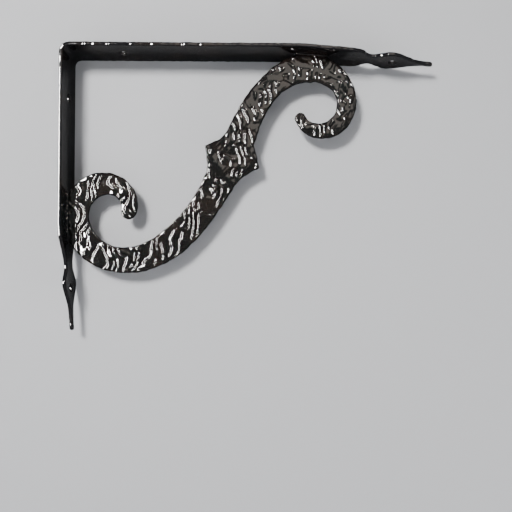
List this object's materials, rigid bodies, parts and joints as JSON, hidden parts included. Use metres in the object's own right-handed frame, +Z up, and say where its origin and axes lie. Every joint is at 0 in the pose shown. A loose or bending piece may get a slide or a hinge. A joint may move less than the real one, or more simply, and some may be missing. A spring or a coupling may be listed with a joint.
{
  "type": "shelf bracket",
  "caption": "L-shaped shelf bracket of flat iron bar with forged spear ends and a hammered S scroll brace; screws to a wall and carries a shelf on its top leg.",
  "frame": {"origin": "on the wall leg's flat back face, midway between its two screw holes and midway across the bar", "axes": "+X straight out from the wall along the shelf leg, +Z up, Y across the bar's width; the scroll lies in the plane Y = 0"},
  "size_m": [0.203, 0.022, 0.154],
  "materials": {
    "strap_enamel": "gloss black enamel on forged bar, with faint hammer ripples and worn-looking bright edges",
    "scroll_enamel": "gloss black enamel over deep hammered, bark-like ridges on both faces"
  },
  "bodies": {
    "root": {"strap": "strap_enamel", "scroll": "scroll_enamel"}
  },
  "joints": []
}
